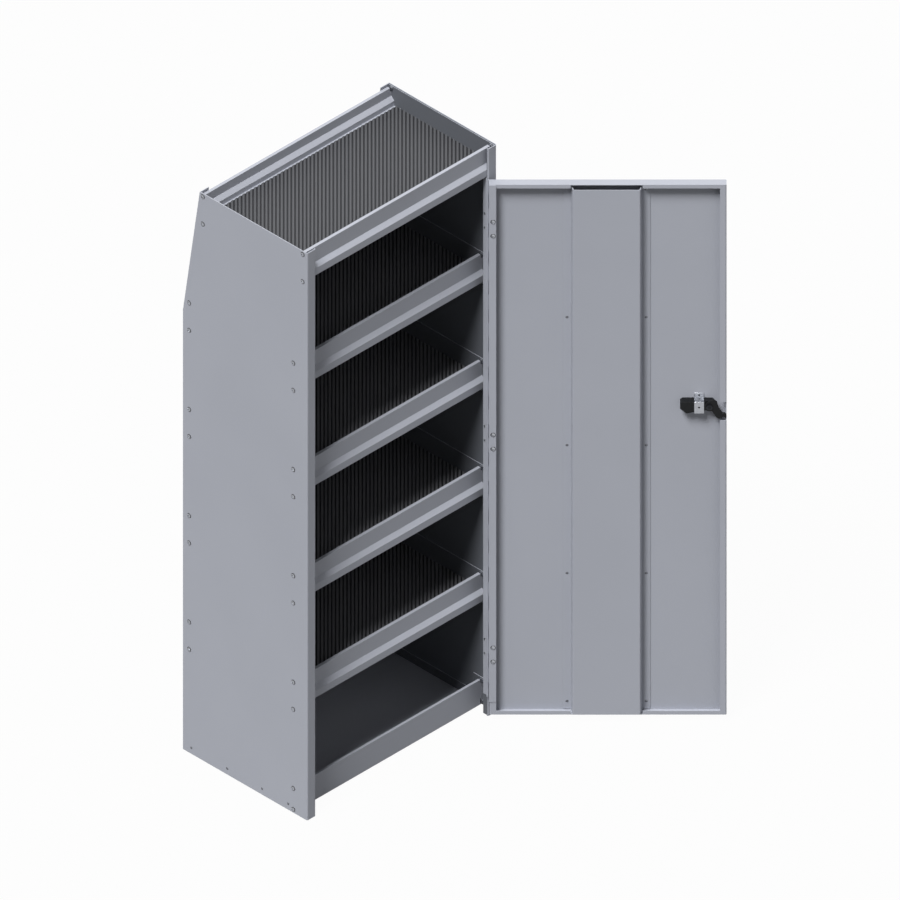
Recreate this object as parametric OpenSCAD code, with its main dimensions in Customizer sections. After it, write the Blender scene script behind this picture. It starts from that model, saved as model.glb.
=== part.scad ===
// Security cabinet in bent sheet steel: two side panels with post flanges, five trays
// bolted between them, a base pan, a sloped back and one hinged door with a hook latch.
// Every piece is drawn with X to the right, Y to the back and Z up. The cabinet is laid
// out from its front left corner and the door from its hinge axis, shut, and each is then
// moved so that the origin is the centre of the footprint on the floor.

/* [Cabinet] */
// Width over the side panels
cab_w = 610; // [500:1:900]
// Depth at the floor
cab_d = 400; // [380:1:500]
// Height of the side panels
cab_h = 1580; // [1560:1:1640]
// Depth at the top, where the back leans forward
top_d = 346; // [330:1:360]
// Distance below the uppermost shelf at which the back starts to lean
kink_drop = 30.9; // [15:0.1:50]

/* [Side panels] */
// Sheet thickness of the side panels
side_t = 2; // [1.5:0.1:2.5]
// Width of the front flange, which is the post face
post_w = 28; // [24:1:34]
// Depth of the leg that returns from the post face
post_leg = 15.6; // [10:0.1:18]
// Width of the rear flange
rear_flange_w = 28; // [20:1:34]
// Outside radius of the front bend
side_bend_r = 4; // [3:0.5:6]

/* [Trays] */
// Sheet thickness of the trays
tray_t = 1.5; // [1:0.1:2]
// Distance from the uppermost shelf to the top tray
top_bay_h = 317.9; // [290:0.1:340]
// Height of the base rail, from which the shelves count
base_rail_h = 69.3; // [60:0.1:75]
// Number of shelves under the top tray
shelf_count = 4; // [4:1:4]
// How far the shelves stand behind the post faces
shelf_setback = 34; // [32:0.5:40]
// Drop of the top tray's rim below the tops of the side panels
top_rim_drop = 7.2; // [3:0.1:10]
// Height of a front lip
lip_h = 70; // [66:1:80]
// Height of the lower band of a front lip
lip_low_h = 19; // [18:1:26]
// Depth and height of the sloped band between the two flat bands
lip_step = 9.75; // [6:0.25:12]
// Height of the upper band of a rear lip
rear_lip_up_h = 22.8; // [18:0.2:28]
// Depth of the rim folded over the top of a lip
rim_w = 8; // [6:0.5:10]
// Depth of a tray floor below its rim
tray_floor_drop = 46; // [40:1:50]

/* [Mats] */
// Thickness of a mat with its ribs
mat_t = 3; // [2:0.5:5]
// Margin of tray floor left bare round a mat
mat_margin = 6; // [3:1:15]

/* [Fasteners] */
// Shank diameter of the side bolts
bolt_d = 6; // [5:0.5:8]
// Head diameter of the side bolts
bolt_head_d = 12.5; // [11:0.5:13]
// Head height of the side bolts
bolt_head_h = 3; // [2:0.5:4]
// Distance between the two bolts of a pair
bolt_pair = 76; // [70:0.5:78]
// Shank diameter of the rivets
rivet_d = 4; // [3:0.2:5]
// Head diameter of the rivets
rivet_head_d = 7; // [6:0.5:9]
// Head height of the rivets
rivet_head_h = 1.2; // [0.8:0.1:2]
// Diameter of the holes for floor and wall bolts
mount_hole_d = 9; // [7:0.5:11]

/* [Door] */
// Sheet thickness of the door
door_t = 1.5; // [1:0.1:2]
// Depth of the door pan
door_depth = 21.3; // [18:0.1:23]
// Gap under the door
door_bottom = 23.2; // [15:0.2:30]
// Gap between the door and the top tray
door_top_gap = 3.1; // [1.5:0.1:6]
// Gap between the door and the latch side post
latch_gap = 7.1; // [4:0.1:10]
// Width of the lips turned in from the door's long edges
door_lip_w = 15; // [12:0.5:20]
// Height of the lips turned in from the door's short edges
door_end_lip = 10; // [6:0.5:14]
// Opening angle at which the door stands
door_angle = 135; // [100:1:150]
// Width of the stiffener at its foot
hat_w = 162.2; // [120:0.1:180]
// Depth of the stiffener
hat_depth = 25.5; // [18:0.5:26]
// Slope of each stiffener wall, measured across
hat_slope = 4.6; // [4:0.1:14]
// Width of the stiffener's fixing flanges
hat_flange_w = 18.2; // [14:0.1:26]

/* [Hinge] */
// Diameter of the hinge pin
pin_d = 2.8; // [2.4:0.1:3]
// Outside diameter of the knuckles
knuckle_d = 5.4; // [5:0.1:5.6]
// Length of one knuckle
knuckle_len = 40; // [20:1:60]
// Thickness of the hinge leaves
leaf_t = 1.5; // [1.2:0.1:1.5]
// Distance between the two bolts of a hinge pair
hinge_pair = 39.2; // [30:0.1:44]

/* [Latch] */
// Height of the latch above the floor
latch_z = 880; // [820:1:940]
// Distance of the latch spindle from the door's latch side edge
spindle_inset = 38.9; // [38:0.1:52]
// Diameter of the latch spindle
spindle_d = 9; // [8:0.5:10]
// Reach of the hook from its spindle
hook_reach = 49; // [46:1:50]
// Thickness of the hook
hook_t = 4; // [3:0.5:4]
// Angle through which the hook and the handle turn
latch_turn = 42; // [38:1:46]
// Length of the lever handle outside
handle_len = 110; // [80:5:140]

/* [Hidden] */

// Roundness of bores, shanks and domed heads
round_fn = 48;
// Overrun of a cutting shape past the face that it cuts
over = 1;
// Running clearance of the hinge and the spindle, on the radius
run_gap = 0.05;
// Clearance between pieces that are set side by side
fit_gap = 0.3;
// Clearance of a bolt or rivet in its hole, on the radius
hole_gap = 0.2;

// Trays: the bolts sit a little below the rim, and an end plate reaches past both
bolt_drop = 1.5;
plate_edge = 6.5;
end_t = 1.5;
end_gap = 0;
nut_af = 10;
nut_h = 3.2;
nut_room = 1.3;
notch_x = nut_h + end_t + nut_room;
notch_z = 10;
// The top tray stands behind the bend of the posts
top_setback = side_bend_r;
// Clearance from the back for the rim of the top tray and for those of the shelves
top_back_gap = 3.2;
shelf_back_gap = 12.2;
top_rim_z = cab_h - top_rim_drop;
shelf_pitch = (top_rim_z - top_bay_h - base_rail_h) / shelf_count;
kink_z = top_rim_z - top_bay_h - kink_drop;
inner_x = side_t + end_gap;
tray_w = cab_w - 2 * inner_x;
function back_y(z) =
    z <= kink_z ? cab_d : cab_d - (z - kink_z) * (cab_d - top_d) / (cab_h - kink_z);
function rim_z(k) = base_rail_h + k * shelf_pitch;
shelf_rear = cab_d - shelf_back_gap;
top_rear = back_y(top_rim_z) - top_back_gap;
// A front bolt lines up with the upper band of its lip, a rear bolt with the rear band
bolt_back = 1;
front_bolt_y = shelf_setback + lip_step + bolt_back;
top_front_bolt_y = top_setback + lip_step + bolt_back;
rear_bolt_y = shelf_rear - rim_w;
top_rear_bolt_y = top_rear - rim_w;

// Base pan
base_t = 2;
base_rail_back = 1.5;
base_rail_y = shelf_setback + lip_step + base_rail_back;
base_rim_w = 6.5;
base_end_h = 26;
base_back_h = 40;
base_rivet_z = 16.5;
base_rivet_shares = [0, 0.27, 0.63, 1];
base_rivet_first = 61;
base_rivet_last = 27;
base_plate_l = 34;
base_low_bolt_z = 9.5;
base_notch_h = 14;
floor_hole_inset_x = 45;
floor_hole_inset_y = 62;

// Back panels
back_t = 1.5;
back_rivet_pitch = 190;
back_rivet_inset = 9;
slope_rivet_shares = [0.2, 0.75];
wall_hole_inset_x = 19;
wall_hole_z = 300;
wall_hole_rise = 800;

// Door: x runs from the hinge axis to the hinge side, so the door lies at negative x
axis_gap = 1.5;
axis_proud = 1.5;
hinge_x = cab_w - post_w - leaf_t - axis_gap;
hinge_y = -axis_proud;
leaf_clear = 0.4;
leaf_u = knuckle_d / 2 + leaf_clear;
door_u0 = leaf_u + leaf_t;
door_u1 = hinge_x - post_w - latch_gap;
door_w = door_u1 - door_u0;
skin_n = axis_proud;
rim_n = skin_n + door_depth;
door_z1 = top_rim_z - lip_h - door_top_gap;
door_h = door_z1 - door_bottom;
door_bend_r = 3;
hat_n = skin_n + door_t + hat_depth;
hat_shift = 3.2;
hat_u = (door_u0 + door_u1) / 2 - hat_shift;
hat_top_drop = 10.9;
hat_bottom_gap = 2;
hat_bend = 2;
hat_rivets = 5;
hat_rivet_end = 25;
lip_notch_gap = 1;

// Hinge
hinge_foot = 33;
hinge_bottom = door_bottom + hinge_foot;
hinge_len = floor((door_z1 - hinge_bottom) / (2 * knuckle_len)) * 2 * knuckle_len;
hinge_head = 1;
hinge_top = door_z1 - hinge_head;
hinge_low = hinge_top - hinge_len;
knuckle_gap = 0.4;
post_leaf_spare = 3;
post_leaf_w = post_leg - post_leaf_spare;
post_rivet_y = (side_bend_r + axis_proud + leaf_u + post_leaf_w) / 2;
hinge_group_foot = 167.8;
hinge_group_head = 122.1;
hinge_groups = 3;
hinge_group_low = door_bottom + hinge_group_foot;
hinge_group_high = door_z1 - hinge_group_head;
hinge_group_pitch = (hinge_group_high - hinge_group_low) / (hinge_groups - 1);
hinge_bolt_inset = 9.6;
hinge_bolt_d = 5;
hinge_bolt_head_d = 12;
hinge_bolt_head_h = 2.8;
hinge_nut_t = 3;
pin_end = 1.5;

// Latch: the hook passes behind the latch side post's leg
hook_gap = 0.7;
hook_n = axis_proud + post_leg + hook_gap;
spindle_u = door_u1 - spindle_inset;
housing_back = 67;
housing_front = 12;
housing_u0 = spindle_u - housing_back;
housing_u1 = spindle_u + housing_front;
housing_h = 27;
housing_n = 22.5;
housing_chin = 4;
housing_shoulder = 9;
housing_cut = 5;
hook_seat = hook_n - fit_gap;
strap_back = 23.5;
strap_u = spindle_u - strap_back;
strap_w = 22.6;
strap_t = 1.5;
strap_foot = 13;
strap_drop = 2;
strap_gap = 0.1;
strap_screw_d = 5;
// Outline of the hook from its spindle, with the latch side to the right
hook_back_shares = 0.26;
hook_shares = [
    [0.02, 0.36], [0.22, 0.39], [0.35, 0.28], [0.40, 0.06], [0.46, -0.12], [0.55, -0.26],
    [0.64, -0.36], [0.71, -0.33], [0.79, -0.42], [0.80, -0.58], [0.73, -0.63],
    [0.64, -0.56], [0.56, -0.67], [0.41, -0.68], [0.29, -0.57], [0.16, -0.32]
];
thread_d = 8;
hook_nut_af = 13;
hook_nut_h = 4;
spindle_end = 0.5;
// Cut-out in the door's latch side edge, through which the hook swings
notch_below = 37;
notch_above = 14;
rose_d = 56;
rose_t = 4;
rose_screw_r = 21;
rose_screw_d = 6;
rose_screw_h = 1.5;
rose_gap = 0.3;
hub_d = 30;
hub_h = 18;
handle_w = 18;
handle_end_d = 22;
handle_t = 9;
handle_drop = 2;
lock_d = 16;
lock_depth = 12;
lock_proud = 1.5;
key_slot_w = 2;
key_slot_l = 9;
key_slot_deep = 4;
striker_h = 60;
striker_t = 4;
striker_end_gap = 0.3;
striker_rivet_y = (side_bend_r + post_leg) / 2;
striker_rivet_rise = 20;

steel_grey = [0.63, 0.64, 0.67];
zinc = [0.74, 0.75, 0.77];
black = [0.09, 0.09, 0.1];
rubber = [0.16, 0.16, 0.17];

// Moves a piece drawn from the front left corner to the footprint's centre
module on_cabinet() {
    translate([-cab_w / 2, -cab_d / 2, 0]) children();
}

// Moves a piece drawn from the hinge axis, shut, to where the open door stands
module on_door() {
    on_cabinet() translate([hinge_x, hinge_y, 0]) rotate([0, 0, door_angle]) children();
}

// Turns an outline drawn in Y and Z into a bar that runs along X
module along_x(len) {
    rotate([90, 0, 90]) linear_extrude(len) children();
}

// Quarter of a bent sheet, with the inside of the bend towards the positive corner
module bend(outer_r, t) {
    intersection() {
        translate([outer_r, outer_r]) difference() {
            circle(r = outer_r, $fn = round_fn);
            circle(r = outer_r - t, $fn = round_fn);
        }
        square(outer_r);
    }
}

// Domed head on a round shank, standing up from z = 0 with the shank below
module domed_pin(head_d, head_h, shank_d, shank_l) {
    crown = (pow(head_d / 2, 2) + pow(head_h, 2)) / (2 * head_h);
    translate([0, 0, -shank_l]) cylinder(h = shank_l, d = shank_d, $fn = round_fn);
    intersection() {
        cylinder(h = head_h, d = head_d, $fn = round_fn);
        translate([0, 0, head_h - crown]) sphere(r = crown, $fn = round_fn);
    }
}

// Places a fastener or a hole whose head looks towards -X, at a height and depth
module facing_left(x, y, z) {
    translate([x, y, z]) rotate([0, -90, 0]) children();
}

// Places of the side bolts as [y, z], front pairs first
function pair(y, z) = [[y, z - bolt_drop], [y, z - bolt_drop - bolt_pair]];
front_bolts = concat(
    pair(top_front_bolt_y, top_rim_z),
    [for (k = [1:shelf_count]) each pair(front_bolt_y, rim_z(k))],
    [[front_bolt_y, base_rail_h - bolt_drop], [front_bolt_y, base_low_bolt_z]]
);
rear_bolts = concat(
    pair(top_rear_bolt_y, top_rim_z),
    [for (k = [1:shelf_count]) each pair(rear_bolt_y, rim_z(k))]
);
side_bolt_places = concat(front_bolts, rear_bolts);
base_rivet_places = [
    for (s = base_rivet_shares)
        [base_rivet_first + s * (cab_d - base_rivet_last - base_rivet_first), base_rivet_z]
];
wall_hole_places = [for (z = [wall_hole_z, wall_hole_z + wall_hole_rise]) z];
back_rivet_places = [
    for (z = [back_rivet_pitch / 2 : back_rivet_pitch : kink_z - back_rivet_inset]) z
];

// Heights of the hinge's bolts and rivets, and places of the rivets in the legs as [y, z]
hinge_heights = [
    for (g = [0 : hinge_groups - 1], s = [-1, 1])
        hinge_group_low + g * hinge_group_pitch + s * hinge_pair / 2
];
hinge_rivet_places = [for (z = hinge_heights) [hinge_y + post_rivet_y, z]];
striker_rivet_places = [
    for (s = [-1, 1]) [striker_rivet_y, latch_z + s * striker_rivet_rise]
];

// Rivet holes in the slope of the back, as [y, z] on its outer face
slope_tilt = atan((cab_d - top_d) / (cab_h - kink_z));
slope_rivet_places = [
    for (s = slope_rivet_shares) let (z = kink_z + s * (cab_h - kink_z)) [back_y(z), z]
];

// Turns a piece that stands along Z so that it stands out from the slope of the back
module on_slope(x, p) {
    translate([x, p[0], p[1]]) rotate([slope_tilt - 90, 0, 0]) children();
}

// Left side panel, with its post at the front and its flange at the back. The leg behind
// the post face takes rivets at the places given as [y, z]
module side_panel(leg_rivets) {
    outline = [[0, 0], [cab_d, 0], [cab_d, kink_z], [top_d, cab_h], [0, cab_h]];
    slope = [
        [cab_d, kink_z], [top_d, cab_h], [top_d - side_t, cab_h], [cab_d - side_t, kink_z]
    ];
    r = side_bend_r;
    difference() {
        union() {
            difference() {
                along_x(side_t) polygon(outline);
                translate([-over, -over, -over])
                    cube([side_t + 2 * over, r + over, cab_h + 2 * over]);
            }
            linear_extrude(cab_h) bend(r, side_t);
            translate([r, 0, 0]) cube([post_w - 2 * r, side_t, cab_h]);
            linear_extrude(cab_h) translate([post_w, 0]) mirror([1, 0]) bend(r, side_t);
            translate([post_w - side_t, r, side_t])
                cube([side_t, post_leg - r, door_z1 - side_t]);
            translate([0, cab_d - side_t, 0]) cube([rear_flange_w, side_t, kink_z]);
            along_x(rear_flange_w) polygon(slope);
        }
        for (p = side_bolt_places)
            facing_left(side_t + over, p[0], p[1])
                cylinder(h = side_t + 2 * over, d = bolt_d + 2 * hole_gap, $fn = round_fn);
        for (p = base_rivet_places)
            facing_left(side_t + over, p[0], p[1])
                cylinder(h = side_t + 2 * over, d = rivet_d + 2 * hole_gap, $fn = round_fn);
        for (z = wall_hole_places)
            translate([wall_hole_inset_x, cab_d + over, z]) rotate([90, 0, 0])
                cylinder(h = side_t + 2 * over, d = mount_hole_d, $fn = round_fn);
        for (z = back_rivet_places)
            translate([back_rivet_inset, cab_d + over, z]) rotate([90, 0, 0])
                cylinder(h = side_t + 2 * over, d = rivet_d + 2 * hole_gap, $fn = round_fn);
        for (p = slope_rivet_places)
            on_slope(back_rivet_inset, p) translate([0, 0, -side_t - over])
                cylinder(h = side_t + 2 * over, d = rivet_d + 2 * hole_gap, $fn = round_fn);
        for (p = leg_rivets)
            facing_left(post_w + over, p[0], p[1])
                cylinder(h = side_t + 2 * over, d = rivet_d + 2 * hole_gap, $fn = round_fn);
    }
}

module left_side_panel() {
    color(steel_grey) on_cabinet() side_panel(striker_rivet_places);
}

module right_side_panel() {
    color(steel_grey) on_cabinet() translate([cab_w, 0, 0]) mirror([1, 0, 0])
        side_panel(hinge_rivet_places);
}

// Section of a front lip in Y and Z, from the lower band's face and the rim's height
module front_lip(y, z) {
    t = tray_t;
    k = t * tan(22.5);
    polygon([
        [y, z - lip_h], [y, z - lip_h + lip_low_h],
        [y + lip_step, z - lip_h + lip_low_h + lip_step], [y + lip_step, z],
        [y + lip_step + rim_w, z], [y + lip_step + rim_w, z - 2 * t],
        [y + lip_step + rim_w - t, z - 2 * t], [y + lip_step + rim_w - t, z - t],
        [y + lip_step + t, z - t], [y + lip_step + t, z - lip_h + lip_low_h + lip_step - k],
        [y + t, z - lip_h + lip_low_h - k], [y + t, z - lip_h]
    ]);
}

// Section of a rear lip, given by the rear edge of its rim
module rear_lip(y, z) {
    t = tray_t;
    k = t * tan(22.5);
    up = y - rim_w;
    low = up - lip_step;
    polygon([
        [low, z - tray_floor_drop - t], [low, z - rear_lip_up_h - lip_step],
        [up, z - rear_lip_up_h], [up, z], [y, z], [y, z - 2 * t], [y - t, z - 2 * t],
        [y - t, z - t], [up + t, z - t], [up + t, z - rear_lip_up_h - k],
        [low + t, z - rear_lip_up_h - lip_step - k], [low + t, z - tray_floor_drop - t]
    ]);
}

// Pair of holes, one through each end plate
module end_holes(y, z, d) {
    for (x = [inner_x, cab_w - inner_x - end_t])
        facing_left(x + end_t + over, y, z)
            cylinder(h = end_t + 2 * over, d = d + 2 * hole_gap, $fn = round_fn);
}

// Tray with its lips, floor and two end plates, all welded into one piece
module tray(front, rear, z) {
    floor_z = z - tray_floor_drop;
    floor_y0 = front + min(lip_step, max(0, lip_h - lip_low_h - tray_floor_drop)) + tray_t / 2;
    plate_z0 = z - bolt_drop - bolt_pair - plate_edge;
    plate_h = bolt_pair + 2 * plate_edge;
    fy = front + lip_step + bolt_back;
    ry = rear - rim_w;
    difference() {
        union() {
            translate([inner_x, 0, 0]) along_x(tray_w) {
                front_lip(front, z);
                rear_lip(rear, z);
                translate([floor_y0, floor_z - tray_t])
                    square([rear - rim_w - lip_step + tray_t / 2 - floor_y0, tray_t]);
            }
            for (x = [inner_x, cab_w - inner_x - end_t])
                translate([x, front, plate_z0]) cube([end_t, rear - front, plate_h]);
        }
        for (x = [inner_x + end_t, cab_w - inner_x - notch_x]) {
            translate([x, fy - notch_z / 2, z - notch_z])
                cube([notch_x - end_t, notch_z + rim_w, notch_z + over]);
            translate([x, ry - notch_z / 2, z - notch_z])
                cube([notch_x - end_t, notch_z + rim_w, notch_z + over]);
        }
        for (y = [fy, ry], bz = [z - bolt_drop, z - bolt_drop - bolt_pair])
            end_holes(y, bz, bolt_d);
    }
}

module top_tray() {
    color(steel_grey) on_cabinet() tray(top_setback, top_rear, top_rim_z);
}

module shelf(k) {
    color(steel_grey) on_cabinet() tray(shelf_setback, shelf_rear, rim_z(k));
}

// Rubber mat on a tray floor, clear of the lips and the end plates
module mat(front, rear, z) {
    y0 = front + lip_step + mat_margin;
    y1 = rear - rim_w - lip_step - mat_margin;
    x0 = inner_x + end_t + fit_gap;
    translate([x0, y0, z - tray_floor_drop]) cube([cab_w - 2 * x0, y1 - y0, mat_t]);
}

module top_mat() {
    color(rubber) on_cabinet() mat(top_setback, top_rear, top_rim_z);
}

module shelf_mat(k) {
    color(rubber) on_cabinet() mat(shelf_setback, shelf_rear, rim_z(k));
}

// Base pan: a floor with a front rail, low ends for rivets and two bolted end plates
module base_pan() {
    y0 = base_rail_y;
    y1 = cab_d - side_t - back_t - 2 * fit_gap;
    rail = [
        [y0, 0], [y0, base_rail_h], [y0 + base_rim_w, base_rail_h],
        [y0 + base_rim_w, base_rail_h - 2 * tray_t],
        [y0 + base_rim_w - tray_t, base_rail_h - 2 * tray_t],
        [y0 + base_rim_w - tray_t, base_rail_h - tray_t],
        [y0 + base_t, base_rail_h - tray_t], [y0 + base_t, base_t], [y1 - base_t, base_t],
        [y1 - base_t, base_back_h], [y1, base_back_h], [y1, 0]
    ];
    plate_y0 = front_bolt_y - bolt_head_d / 2;
    color(steel_grey) on_cabinet() difference() {
        union() {
            translate([inner_x, 0, 0]) along_x(tray_w) polygon(rail);
            for (x = [inner_x, cab_w - inner_x - end_t]) {
                translate([x, y0, 0]) cube([end_t, y1 - y0, base_end_h]);
                translate([x, plate_y0, 0])
                    cube([end_t, base_plate_l, base_rail_h + plate_edge - bolt_drop]);
            }
        }
        for (x = [inner_x + end_t, cab_w - inner_x - notch_x])
            for (s = [[base_t, base_notch_h], [base_rail_h - notch_z, notch_z]])
                translate([x, y0 - over, s[0]])
                    cube([notch_x - end_t, notch_z, s[1] + over]);
        for (z = [base_rail_h - bolt_drop, base_low_bolt_z])
            end_holes(front_bolt_y, z, bolt_d);
        for (p = base_rivet_places) end_holes(p[0], p[1], rivet_d);
        for (x = [floor_hole_inset_x, cab_w - floor_hole_inset_x],
             y = [floor_hole_inset_y, cab_d - floor_hole_inset_y])
            translate([x, y, -over])
                cylinder(h = base_t + 2 * over, d = mount_hole_d, $fn = round_fn);
    }
}

// Back panels, riveted inside the rear flanges
module lower_back_panel() {
    y = cab_d - side_t - back_t;
    x0 = inner_x + fit_gap;
    color(steel_grey) on_cabinet() difference() {
        translate([x0, y, 0]) cube([cab_w - 2 * x0, back_t, kink_z]);
        for (z = wall_hole_places, x = [wall_hole_inset_x, cab_w - wall_hole_inset_x])
            translate([x, cab_d, z]) rotate([90, 0, 0])
                cylinder(h = cab_d - y + over, d = mount_hole_d, $fn = round_fn);
        for (z = back_rivet_places, x = [back_rivet_inset, cab_w - back_rivet_inset])
            translate([x, cab_d, z]) rotate([90, 0, 0])
                cylinder(h = cab_d - y + over, d = rivet_d + 2 * hole_gap, $fn = round_fn);
    }
}

module upper_back_panel() {
    top_z = top_rim_z - 2 * tray_t;
    x0 = inner_x + fit_gap;
    z0 = kink_z + fit_gap;
    y0 = back_y(z0) - side_t - back_t;
    y1 = back_y(top_z) - side_t - back_t;
    color(steel_grey) on_cabinet() difference() {
        translate([x0, 0, 0]) along_x(cab_w - 2 * x0)
            polygon([[y0, z0], [y1, top_z], [y1 + back_t, top_z], [y0 + back_t, z0]]);
        for (p = slope_rivet_places, x = [back_rivet_inset, cab_w - back_rivet_inset])
            on_slope(x, p) translate([0, 0, -side_t - back_t - over])
                cylinder(h = back_t + 2 * over, d = rivet_d + 2 * hole_gap, $fn = round_fn);
    }
}

// Side bolts with domed heads outside, and their nuts inside
module side_bolts() {
    grip = side_t + end_gap + end_t + nut_h;
    for (p = side_bolt_places)
        facing_left(0, p[0], p[1]) domed_pin(bolt_head_d, bolt_head_h, bolt_d, grip);
}

module side_nuts() {
    seat = inner_x + end_t;
    for (p = side_bolt_places)
        facing_left(seat + nut_h, p[0], p[1]) difference() {
            cylinder(h = nut_h, d = nut_af / cos(30), $fn = 6);
            translate([0, 0, -over]) cylinder(h = nut_h + 2 * over, d = bolt_d, $fn = round_fn);
        }
}

module left_side_bolts() {
    color(zinc) on_cabinet() side_bolts();
}

module right_side_bolts() {
    color(zinc) on_cabinet() translate([cab_w, 0, 0]) mirror([1, 0, 0]) side_bolts();
}

module left_side_nuts() {
    color(zinc) on_cabinet() side_nuts();
}

module right_side_nuts() {
    color(zinc) on_cabinet() translate([cab_w, 0, 0]) mirror([1, 0, 0]) side_nuts();
}

// Rivets along the foot of both side panels
module base_rivets() {
    grip = side_t + end_gap + end_t;
    color(zinc) on_cabinet() for (p = base_rivet_places) {
        facing_left(0, p[0], p[1]) domed_pin(rivet_head_d, rivet_head_h, rivet_d, grip);
        translate([cab_w, 0, 0]) mirror([1, 0, 0])
            facing_left(0, p[0], p[1]) domed_pin(rivet_head_d, rivet_head_h, rivet_d, grip);
    }
}

// Rivets down both edges of the back
module back_rivets() {
    grip = side_t + back_t;
    color(zinc) on_cabinet()
        for (z = back_rivet_places, x = [back_rivet_inset, cab_w - back_rivet_inset])
            translate([x, cab_d, z]) rotate([-90, 0, 0])
                domed_pin(rivet_head_d, rivet_head_h, rivet_d, grip);
    color(zinc) on_cabinet()
        for (p = slope_rivet_places, x = [back_rivet_inset, cab_w - back_rivet_inset])
            on_slope(x, p)
                domed_pin(rivet_head_d, rivet_head_h, rivet_d, grip * cos(slope_tilt));
}

// Heights of the knuckles: even ones belong to the post, odd ones to the door
module knuckles(first) {
    count = round(hinge_len / knuckle_len);
    for (k = [first : 2 : count - 1])
        translate([0, 0, hinge_low + k * knuckle_len + knuckle_gap / 2])
            linear_extrude(knuckle_len - knuckle_gap) children();
}

// Section of a knuckle joined to its leaf by a short web
module knuckle_section() {
    difference() {
        union() {
            circle(d = knuckle_d, $fn = round_fn);
            children();
        }
        circle(d = pin_d + 2 * run_gap, $fn = round_fn);
    }
}

// Fixed leaf of the hinge, on the leg behind the right post face
module hinge_post_leaf() {
    leaf_y = leaf_u;
    color(steel_grey) on_cabinet() translate([hinge_x, hinge_y, 0]) difference() {
        union() {
            knuckles(0) knuckle_section()
                translate([axis_gap, 0]) square([knuckle_d / 2 - axis_gap, leaf_y]);
            translate([axis_gap, leaf_y, hinge_low])
                cube([leaf_t, post_leaf_w, hinge_len]);
            knuckles(0) translate([axis_gap, axis_proud + side_t / 2])
                square([leaf_t, leaf_y]);
        }
        for (z = hinge_heights) facing_left(leaf_t + axis_gap + over, post_rivet_y, z)
            cylinder(h = leaf_t + 2 * over, d = rivet_d + 2 * hole_gap, $fn = round_fn);
    }
}

module hinge_pin() {
    color(zinc) on_cabinet() translate([hinge_x, hinge_y, hinge_low - pin_end])
        cylinder(h = hinge_len + 2 * pin_end, d = pin_d, $fn = round_fn);
}

module hinge_post_rivets() {
    color(zinc) on_cabinet() translate([hinge_x, hinge_y, 0]) for (z = hinge_heights)
        facing_left(axis_gap, post_rivet_y, z)
            domed_pin(rivet_head_d, rivet_head_h, rivet_d, leaf_t + side_t);
}

// Door pan: a skin with turned walls and lips, open towards the trays
module door_pan() {
    r = door_bend_r;
    t = door_t;
    d = door_depth;
    hat_room = hat_w + 2 * lip_notch_gap;
    color(steel_grey) on_door() translate([-door_u1, skin_n, door_bottom]) difference() {
        union() {
            linear_extrude(door_h) {
                bend(r, t);
                translate([r, 0]) square([door_w - 2 * r, t]);
                translate([door_w, 0]) mirror([1, 0]) bend(r, t);
                for (m = [0, 1]) translate([m * door_w, 0]) mirror([m, 0]) {
                    translate([0, r]) square([t, d - 2 * r]);
                    translate([0, d]) mirror([0, 1]) bend(r, t);
                    translate([r, d - t]) square([door_lip_w - r, t]);
                }
            }
            for (z = [0, door_h - t]) translate([t, t, z]) cube([door_w - 2 * t, d - t, t]);
            for (z = [0, door_h - door_end_lip])
                translate([door_lip_w, d - t, z])
                    cube([door_w - 2 * door_lip_w, t, door_end_lip]);
        }
        for (z = [t, door_h - door_end_lip - over])
            translate([door_u1 - hat_u - hat_room / 2, d - t - over, z])
                cube([hat_room, t + 2 * over, door_end_lip + over - t]);
        for (z = hinge_heights)
            translate([door_w + door_u0 - leaf_u - hinge_bolt_inset, d + over, z - door_bottom])
                rotate([90, 0, 0])
                cylinder(h = t + 2 * over, d = hinge_bolt_d + 2 * hole_gap, $fn = round_fn);
        translate([door_u1 - spindle_u, t + over, latch_z - door_bottom]) rotate([90, 0, 0])
            cylinder(h = t + 2 * over, d = spindle_d + 2 * fit_gap, $fn = round_fn);
        translate([-over, hook_n - skin_n - hook_gap, latch_z - door_bottom - notch_below])
            cube([door_lip_w + 2 * over, d, notch_below + notch_above]);
        for (x = hat_rivet_x, z = hat_rivet_z)
            translate([door_u1 + x, t + over, z - door_bottom]) rotate([90, 0, 0])
                cylinder(h = t + 2 * over, d = rivet_d + 2 * hole_gap, $fn = round_fn);
    }
}

hat_z0 = door_bottom + door_t + hat_bottom_gap;
hat_z1 = door_z1 - hat_top_drop;
hat_rivet_x = [
    for (s = [-1, 1]) -hat_u + s * (hat_w + hat_flange_w) / 2
];
hat_rivet_z = [
    for (k = [0 : hat_rivets - 1])
        door_bottom + hat_rivet_end + k * (door_h - 2 * hat_rivet_end) / (hat_rivets - 1)
];

function flipped(points) = [for (i = [len(points) - 1 : -1 : 0]) [-points[i][0], points[i][1]]];

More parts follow.
